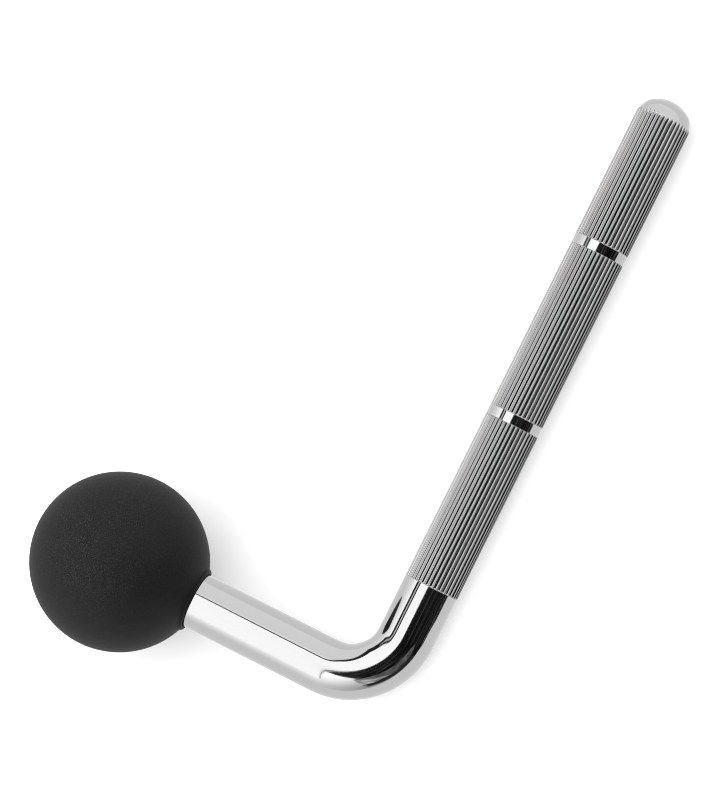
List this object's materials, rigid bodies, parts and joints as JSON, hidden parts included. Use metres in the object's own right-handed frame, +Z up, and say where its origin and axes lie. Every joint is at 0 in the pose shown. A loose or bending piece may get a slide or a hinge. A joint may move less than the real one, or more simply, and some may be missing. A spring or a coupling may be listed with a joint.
{
  "type": "ball-ended massage tool",
  "caption": "Cranked chrome-plated bar with a fluted, banded grip and domed tip on its long arm, and a solid black rubber ball fixed on the end of its short arm.",
  "frame": {"origin": "middle of the bounding box, on the surface that the tool lies on", "axes": "+X along the long arm towards its domed tip, +Y towards the ball, +Z up; the plane of the two arms leans up about X by 12.3 degrees, because the bar and the larger ball both rest on the surface"},
  "size_m": [0.2616, 0.1419, 0.0635],
  "materials": {
    "chrome_plate": "bright nickel-chrome plate over a polished steel bar",
    "black_rubber": "moulded solid rubber with a fine matt grain",
    "zinc_steel": "turned steel, bright zinc plate",
    "stud_steel": "rolled thread, dull steel",
    "spring_steel": "stamped spring steel"
  },
  "bodies": {
    "root": {"handle_bar": "chrome_plate", "ball": "black_rubber", "ball_core": "zinc_steel", "joining_stud": "stud_steel", "lock_washer": "spring_steel"}
  },
  "joints": []
}
